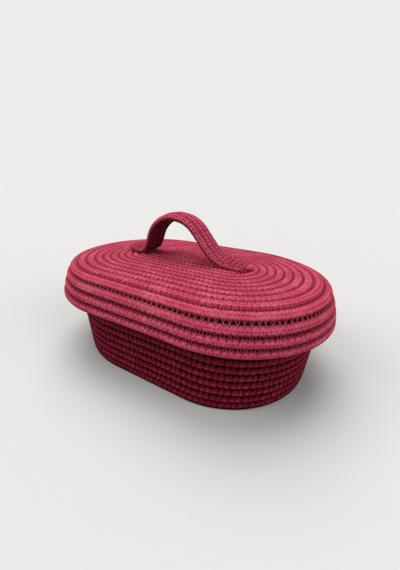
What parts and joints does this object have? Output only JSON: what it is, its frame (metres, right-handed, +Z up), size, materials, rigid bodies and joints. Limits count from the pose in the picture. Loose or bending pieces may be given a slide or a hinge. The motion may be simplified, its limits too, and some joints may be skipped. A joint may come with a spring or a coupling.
{
  "type": "lidded basket",
  "caption": "Oval lidded basket of coiled, sewn rope, with a flared lift-off lid and an arched strap handle.",
  "frame": {"origin": "middle of the underside that the basket stands on", "axes": "+Z up, the way the lid lifts; +X along the oval, towards the handle's long foot; the coils step over at the -X end and the rope ends are on the +Y side"},
  "size_m": [0.2627, 0.178, 0.1292],
  "materials": {
    "body_rope": "matt braided cord, dark crimson",
    "lid_rope": "matt braided cord, dark crimson",
    "handle_rope": "matt braided cord, dark crimson"
  },
  "bodies": {
    "basket": {"base_rope": "body_rope"},
    "lid": {"lid_rope": "lid_rope", "handle_strap": "handle_rope"}
  },
  "joints": [
    {"name": "lid_lift", "type": "slide", "parent": "basket", "child": "lid", "axis": [0, 0, 1], "range_m": [0, 0.12]}
  ]
}
